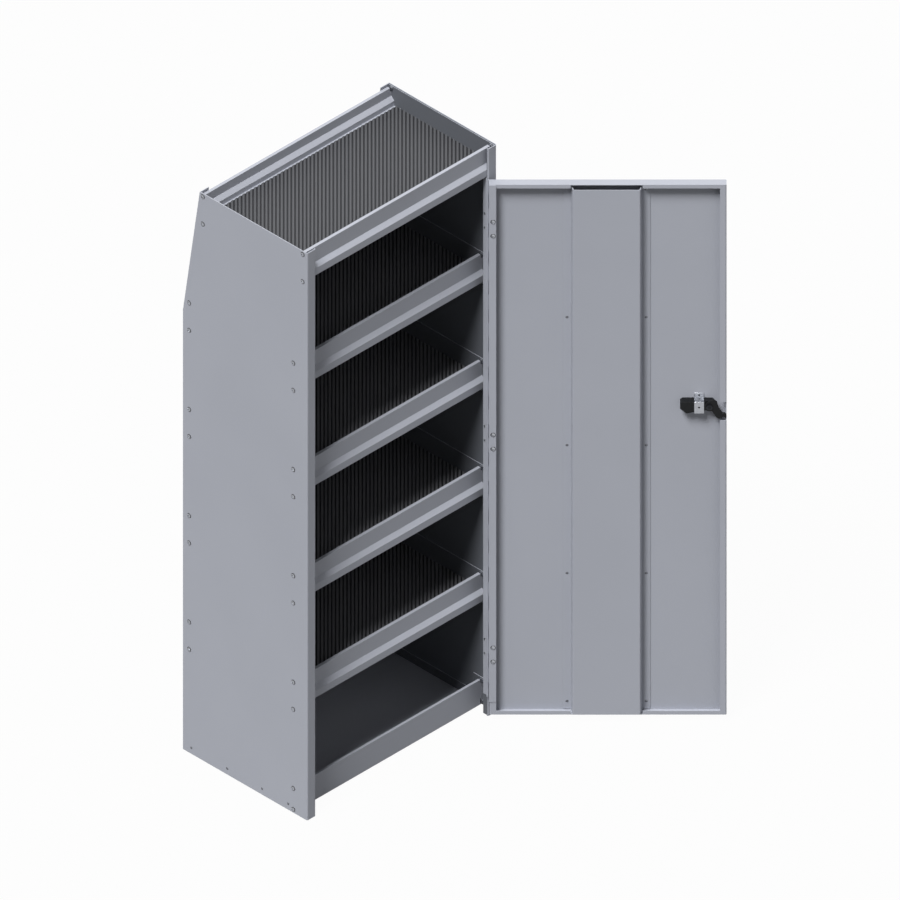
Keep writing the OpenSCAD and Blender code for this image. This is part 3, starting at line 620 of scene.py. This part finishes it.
@dataclass
class RibbedMats:
    """Rubber mats whose ribs cross the trays at 45 degrees."""

    finishes: Finishes
    mats: tuple[str, ...] = (
        "top_mat", "shelf_mat_1", "shelf_mat_2", "shelf_mat_3", "shelf_mat_4",
    )
    pitch_mm: float = 8.7
    rib_depth_mm: float = 1.9
    rib_turn_deg: float = -45.0
    # Across one rib, as shares of the pitch: its foot, the two edges of its top, its foot
    rib_shares: tuple[float, ...] = (0.0, 0.14, 0.62, 0.76)
    rib_is_top: tuple[bool, ...] = (False, True, True, False)

    def build(self) -> None:
        """Build every mat."""
        for node in self.mats:
            shape = self._shape(node)
            mark_sharp(shape)
            # the shelf mats take the lighter copy of the rubber, which is painted light
            rubber = self.finishes.rubber if node == "top_mat" else self.finishes.shelf_rubber
            piece = finished_piece(shape, f"ribbed_{node}", rubber)
            hand_over(piece, Body.CABINET, node)

    def _shape(self, node: str) -> bmesh.types.BMesh:
        """Build one mat as a ribbed sheet, cut to the node's outline and closed below.

        Args:
            node: The CAD node of the mat.

        Returns:
            The mat's mesh.
        """
        low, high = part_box(node)
        centre = (low + high) / 2
        pitch = self.pitch_mm * MM
        reach = (high - low).length
        count = math.ceil(reach / pitch)
        shape = bmesh.new()
        # mask of the painted shade in the grooves: 1 at the foot of a rib, 0 on its top
        groove_shade = shape.verts.layers.float.new("groove_shade")
        profile: list[bmesh.types.BMVert] = []
        foot = high.z - self.rib_depth_mm * MM
        for k in range(count):
            x0 = (k - count / 2) * pitch
            for share, is_top in zip(self.rib_shares, self.rib_is_top):
                vert = shape.verts.new(
                    (x0 + share * pitch, -reach / 2, high.z if is_top else foot)
                )
                vert[groove_shade] = 0.0 if is_top else 1.0
                profile.append(vert)
        edges = [shape.edges.new(pair) for pair in zip(profile, profile[1:])]
        grown = bmesh.ops.extrude_edge_only(shape, edges=edges)["geom"]
        bmesh.ops.translate(
            shape, verts=[g for g in grown if isinstance(g, bmesh.types.BMVert)],
            vec=(0, reach, 0),
        )
        turn = Matrix.Rotation(math.radians(self.rib_turn_deg), 4, "Z")
        bmesh.ops.transform(
            shape, verts=shape.verts, matrix=Matrix.Translation((centre.x, centre.y, 0)) @ turn
        )
        for corner, normal in (
            (low, (-1, 0, 0)), (low, (0, -1, 0)), (high, (1, 0, 0)), (high, (0, 1, 0)),
        ):
            bmesh.ops.bisect_plane(
                shape, geom=[*shape.verts, *shape.edges, *shape.faces], dist=TOUCH,
                plane_co=corner, plane_no=normal, clear_outer=True,
            )
        rim = [edge for edge in shape.edges if edge.is_boundary]
        skirt = bmesh.ops.extrude_edge_only(shape, edges=rim)["geom"]
        for vert in (g for g in skirt if isinstance(g, bmesh.types.BMVert)):
            vert.co.z = low.z
        bmesh.ops.remove_doubles(shape, verts=shape.verts, dist=TOUCH)
        bottom = [edge for edge in shape.edges if edge.is_boundary]
        bmesh.ops.contextual_create(shape, geom=bottom)
        bmesh.ops.recalc_face_normals(shape, faces=shape.faces)
        return shape


@dataclass
class DomedFasteners:
    """Turned bolts and screws with domed heads and a recess for the driver."""

    nodes: dict[str, bpy.types.Object]
    finishes: Finishes
    side_head_mm: float = 3.0
    hinge_head_mm: float = 2.8
    strap_head_mm: float = 1.2
    rose_head_mm: float = 1.5
    steps: int = 24
    # Rings of the dome and the recess, by radius as shares of the head's
    dome_shares: tuple[float, ...] = (1.0, 0.96, 0.85, 0.7, 0.55)
    recess_share: float = 0.4
    recess_floor_share: float = 0.92  # of the recess's radius
    recess_depth_share: float = 0.55  # of the head's height
    edge_share: float = 0.06  # upright rim of the head, of its height
    # Painted shade from the rim of a head to its recess, by radius as a share of the head's
    head_shade_shares: tuple[tuple[float, float], ...] = (
        (1.0, 1.0), (0.96, 1.0), (0.85, 0.85), (0.7, 0.25), (0.55, 0.0), (0.4, 0.1), (0.0, 0.35),
    )
    # The way that the inner side of the open door looks
    door_out: Vector = field(
        default_factory=lambda: Vector((-math.sqrt(0.5), -math.sqrt(0.5), 0))
    )

    def build(self) -> None:
        """Build the bolts of the side panels and the hinge and the screws of the latch."""
        zinc, black = self.finishes.zinc, self.finishes.black_oxide
        for node, out, body, head_mm, material in (
            ("left_side_bolts", Vector((-1, 0, 0)), Body.CABINET, self.side_head_mm, zinc),
            ("right_side_bolts", Vector((1, 0, 0)), Body.CABINET, self.side_head_mm, zinc),
            ("hinge_bolts", self.door_out, Body.DOOR, self.hinge_head_mm, zinc),
            ("latch_strap_screws", self.door_out, Body.DOOR, self.strap_head_mm, black),
            ("handle_rose_screws", -self.door_out, Body.DOOR, self.rose_head_mm, zinc),
        ):
            shape = bmesh.new()
            # a mesh attribute for the painted shade on the heads
            shape.verts.layers.float.new("head_shade")
            for points in self._islands(self.nodes[node]):
                self._add_bolt(shape, points, out, head_mm * MM)
            mark_sharp(shape)
            piece = finished_piece(shape, f"domed_{node}", material)
            hand_over(piece, body, node)

    def _islands(self, node: bpy.types.Object) -> list[list[Vector]]:
        """Split a CAD node into its solids.

        Args:
            node: The CAD node's object.

        Returns:
            The points of each solid.
        """
        shape = bmesh.new()
        shape.from_mesh(node.data)
        bmesh.ops.remove_doubles(shape, verts=shape.verts, dist=MERGE)
        left = set(shape.verts)
        islands: list[list[Vector]] = []
        while left:
            reached = [left.pop()]
            for vert in reached:
                for edge in vert.link_edges:
                    other = edge.other_vert(vert)
                    if other in left:
                        left.remove(other)
                        reached.append(other)
            islands.append([vert.co.copy() for vert in reached])
        shape.free()
        return islands

    def _add_bolt(
        self, shape: bmesh.types.BMesh, points: list[Vector], out: Vector, head_h: float
    ) -> None:
        """Spin one bolt in the place of a CAD solid.

        Args:
            shape: The mesh that takes the bolt.
            points: Points of the CAD solid.
            out: Direction in which the head looks.
            head_h: Height of the head, in metres.
        """
        along = [point.dot(out) for point in points]
        top, end = max(along), min(along)
        seat = top - head_h
        middle = sum(points, Vector()) / len(points)
        axis = middle - out * middle.dot(out)
        around = [(p - out * p.dot(out) - axis).length for p in points]
        head_r = max(around)
        shank_r = max(r for r, a in zip(around, along) if a < end + MERGE)
        crown = (head_r**2 + head_h**2) / (2 * head_h)
        recess = head_r * self.recess_share

        def dome(r: float) -> float:
            """Height of the dome over the seat at a radius."""
            return head_h - crown + math.sqrt(crown**2 - r**2)

        rounds = [head_r * share for share in self.dome_shares] + [recess]
        profile = [(0.0, end - seat), (shank_r, end - seat), (shank_r, 0.0), (head_r, 0.0)]
        profile += [(r, max(dome(r), head_h * self.edge_share)) for r in rounds]
        floor = dome(recess) - head_h * self.recess_depth_share
        profile += [(recess * self.recess_floor_share, floor), (0.0, floor)]
        verts = [shape.verts.new((r, 0, h)) for r, h in profile]
        edges = [shape.edges.new(pair) for pair in zip(verts, verts[1:])]
        bmesh.ops.spin(
            shape, geom=[*verts, *edges], angle=math.tau, steps=self.steps,
            axis=(0, 0, 1), cent=(0, 0, 0), use_merge=True,
        )
        fresh = self._linked(verts[1])
        head_shade = shape.verts.layers.float["head_shade"]
        # painted shade at the foot of the head and in its recess
        for vert in fresh:
            vert[head_shade] = self._head_shade(vert.co.xy.length / head_r)
        turn = Vector((0, 0, 1)).rotation_difference(out).to_matrix().to_4x4()
        place = Matrix.Translation(axis + out * seat) @ turn
        bmesh.ops.transform(shape, verts=fresh, matrix=place)
        bmesh.ops.remove_doubles(shape, verts=fresh, dist=MERGE)
        faces = {face for vert in fresh if vert.is_valid for face in vert.link_faces}
        bmesh.ops.recalc_face_normals(shape, faces=list(faces))

    def _head_shade(self, share: float) -> float:
        """Find the painted shade at a radius, given as a share of the head's.

        Args:
            share: The radius over the head's radius.

        Returns:
            The painted shade from 0 to 1.
        """
        for (outer, much), (inner, less) in zip(self.head_shade_shares, self.head_shade_shares[1:]):
            if share >= inner:
                part = min(1.0, (share - inner) / (outer - inner))
                return less + (much - less) * part
        return self.head_shade_shares[-1][1]

    @staticmethod
    def _linked(start: bmesh.types.BMVert) -> list[bmesh.types.BMVert]:
        """Find the vertices that edges join to one vertex.

        Args:
            start: The vertex.

        Returns:
            The vertex and all that it is joined to.
        """
        seen = {start}
        queue = [start]
        for vert in queue:
            for edge in vert.link_edges:
                other = edge.other_vert(vert)
                if other not in seen:
                    seen.add(other)
                    queue.append(other)
        return queue


@dataclass
class SmallParts:
    """CAD nodes that keep their shape and only get their finish."""

    nodes: dict[str, bpy.types.Object]
    finishes: Finishes
    plated: tuple[str, ...] = (
        "left_side_nuts", "right_side_nuts", "hinge_pin",
        "hinge_post_rivets", "striker_plate", "striker_rivets", "lock_cylinder",
    )
    phosphated: tuple[str, ...] = ("base_rivets", "back_rivets", "stiffener_rivets")
    blackened: tuple[str, ...] = ("hook_nut",)
    coated: tuple[str, ...] = ("hinge_post_leaf", "hinge_door_leaf")

    def build(self) -> None:
        """Give each node its finish."""
        for names, material in (
            (self.plated, self.finishes.zinc),
            (self.phosphated, self.finishes.phosphate),
            (self.blackened, self.finishes.black_oxide),
            (self.coated, self.finishes.coat),
        ):
            for name in names:
                mesh = self.nodes[name].data
                mesh.materials.clear()
                mesh.materials.append(material)
                LOG.info("%s keeps its CAD shape", name)


@dataclass
class Latch:
    """Hook latch: moulded housing, bent strap, hook and lever handle."""

    nodes: dict[str, bpy.types.Object]
    finishes: Finishes
    housing_edge_mm: float = 1.2
    rose_edge_mm: float = 1.0
    strap_edge_mm: float = 0.9
    hook_edge_mm: float = 0.8
    lever_edge_mm: float = 1.5
    edge_segments: int = 3
    shortest_mm: float = 1.0
    smooth_deg: float = 35.0
    bend_mm: float = 2.5

    def build(self) -> None:
        """Dress the pieces of the latch."""
        nylon, zinc = self.finishes.nylon, self.finishes.zinc
        for node, material, edge_mm, body, slot in (
            ("latch_housing", nylon, self.housing_edge_mm, Body.DOOR, Slot.LATCH_BLACK),
            ("handle_rose", nylon, self.rose_edge_mm, Body.DOOR, Slot.LATCH_BLACK),
            ("latch_strap", zinc, self.strap_edge_mm, Body.DOOR, Slot.LATCH_STEEL),
            ("latch_hook", nylon, self.hook_edge_mm, Body.HANDLE, Slot.LATCH_BLACK),
            ("lever_handle", nylon, self.lever_edge_mm, Body.HANDLE, Slot.LATCH_BLACK),
        ):
            shape = merged_copy(self.nodes[node])
            ease_edges(shape, edge_mm, self.shortest_mm, self.edge_segments)
            mark_sharp(shape, self.smooth_deg, self.bend_mm)
            piece = finished_piece(shape, f"dressed_{node}", material)
            hand_over(piece, body, node)


@dataclass(frozen=True)
class Lamp:
    """A soft lamp far away."""

    name: str
    toward: tuple[float, float, float]  # from the object to the lamp
    strength: float
    width_deg: float
    distance_m: float = 6.0

    def hang(self) -> None:
        """Hang the lamp."""
        light = bpy.data.lights.new(self.name, "SUN")
        light.energy = self.strength
        light.angle = math.radians(self.width_deg)
        lamp = bpy.data.objects.new(self.name, light)
        lamp.rotation_euler = Vector(self.toward).to_track_quat("Z", "Y").to_euler()
        lamp.location = Vector(self.toward).normalized() * self.distance_m
        bpy.context.scene.collection.objects.link(lamp)


@dataclass
class Studio:
    """Pale floor, soft lamps, faint sky and an isometric camera."""

    # The picture's width and middle, as far as the photograph shows them
    ortho_m: float = 2.0483
    aim: tuple[float, float, float] = (0.1748, -0.1798, 0.7833)
    elevation_deg: float = 35.2644
    azimuth_deg: float = -45.0
    distance_m: float = 6.0
    clip_m: float = 100.0
    floor_m: float = 16.0
    floor_drop_mm: float = 0.6
    lamps: tuple[Lamp, ...] = (
        Lamp("soft_main_light", (-0.510, -0.118, 0.852), strength=4.3, width_deg=20.0),
        Lamp("faint_front_light", (0.0, -0.88, 0.47), strength=0.28, width_deg=60.0),
        Lamp("faint_back_light", (0.50, 0.75, 0.43), strength=1.1, width_deg=60.0),
    )
    sky_strength: float = 0.15
    backdrop_strength: float = 1.0
    floor_colour: str = "#6A6A6A"
    floor_glow_share: float = 0.93
    floor_glow_strength: float = 1.04

    def build(self) -> None:
        """Build the floor, the lights and the camera."""
        self._floor()
        self._sky()
        for lamp in self.lamps:
            lamp.hang()
        self._camera()
        bpy.context.scene.view_settings.view_transform = "Standard"

    def _seen(self, tree: bpy.types.NodeTree) -> bpy.types.NodeSocket:
        """Tell the rays that see a surface from those that gather its light.

        Args:
            tree: The node tree that asks.

        Returns:
            A socket that is 1 on camera, glossy and transmission rays.
        """
        path = add_node(tree, "ShaderNodeLightPath").outputs
        first = add_node(
            tree, "ShaderNodeMath",
            {0: path["Is Camera Ray"], 1: path["Is Glossy Ray"]}, operation="MAXIMUM",
        )
        return add_node(
            tree, "ShaderNodeMath",
            {0: first.outputs[0], 1: path["Is Transmission Ray"]}, operation="MAXIMUM",
        ).outputs[0]

    def _floor(self) -> None:
        """Make the floor, which looks white and keeps a faint shadow."""
        material, tree = new_material("studio_floor")
        share = add_node(
            tree, "ShaderNodeMath", {0: self._seen(tree), 1: self.floor_glow_share},
            operation="MULTIPLY",
        )
        matt = add_node(tree, "ShaderNodeBsdfDiffuse", {"Color": linear(self.floor_colour)})
        glow = add_node(
            tree, "ShaderNodeEmission",
            {"Color": linear(WHITE), "Strength": self.floor_glow_strength},
        )
        mix = add_node(
            tree, "ShaderNodeMixShader",
            {0: share.outputs[0], 1: matt.outputs[0], 2: glow.outputs[0]},
        )
        add_node(tree, "ShaderNodeOutputMaterial", {"Surface": mix.outputs[0]})
        shape = bmesh.new()
        bmesh.ops.create_grid(shape, x_segments=1, y_segments=1, size=self.floor_m / 2)
        bmesh.ops.translate(
            shape, verts=shape.verts, vec=(0, 0, -self.floor_drop_mm * MM)
        )
        floor = finished_piece(shape, "studio_floor", material)

    def _sky(self) -> None:
        """Light the object faintly from all round, in front of a white background."""
        world = bpy.data.worlds.new("studio_sky")
        world.use_nodes = True
        tree = world.node_tree
        tree.nodes.clear()
        faint = add_node(
            tree, "ShaderNodeBackground",
            {"Color": linear(WHITE), "Strength": self.sky_strength},
        )
        white = add_node(
            tree, "ShaderNodeBackground",
            {"Color": linear(WHITE), "Strength": self.backdrop_strength},
        )
        mix = add_node(
            tree, "ShaderNodeMixShader",
            {0: self._seen(tree), 1: faint.outputs[0], 2: white.outputs[0]},
        )
        add_node(tree, "ShaderNodeOutputWorld", {"Surface": mix.outputs[0]})
        bpy.context.scene.world = world

    def _camera(self) -> None:
        """Set the camera at the photograph's isometric angle."""
        lens = bpy.data.cameras.new("isometric_camera")
        lens.type = "ORTHO"
        lens.ortho_scale = self.ortho_m
        lens.clip_end = self.clip_m
        camera = bpy.data.objects.new("isometric_camera", lens)
        rise, turn = math.radians(self.elevation_deg), math.radians(self.azimuth_deg)
        look = Vector(
            (-math.sin(turn) * math.cos(rise), math.cos(turn) * math.cos(rise), -math.sin(rise))
        )
        camera.location = Vector(self.aim) - look * self.distance_m
        camera.rotation_euler = (math.pi / 2 - rise, 0, turn)
        bpy.context.scene.collection.objects.link(camera)
        bpy.context.scene.camera = camera


def main() -> None:
    """Build the cabinet's looks round its frame."""
    logging.basicConfig(level=logging.INFO, format="%(name)s: %(message)s")
    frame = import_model()
    finishes = Finishes()
    nodes = frame["nodes"]
    SheetMetal(nodes, finishes).build()
    RibbedMats(finishes).build()
    DomedFasteners(nodes, finishes).build()
    SmallParts(nodes, finishes).build()
    Latch(nodes, finishes).build()
    Studio().build()


if __name__ == "__main__":
    main()
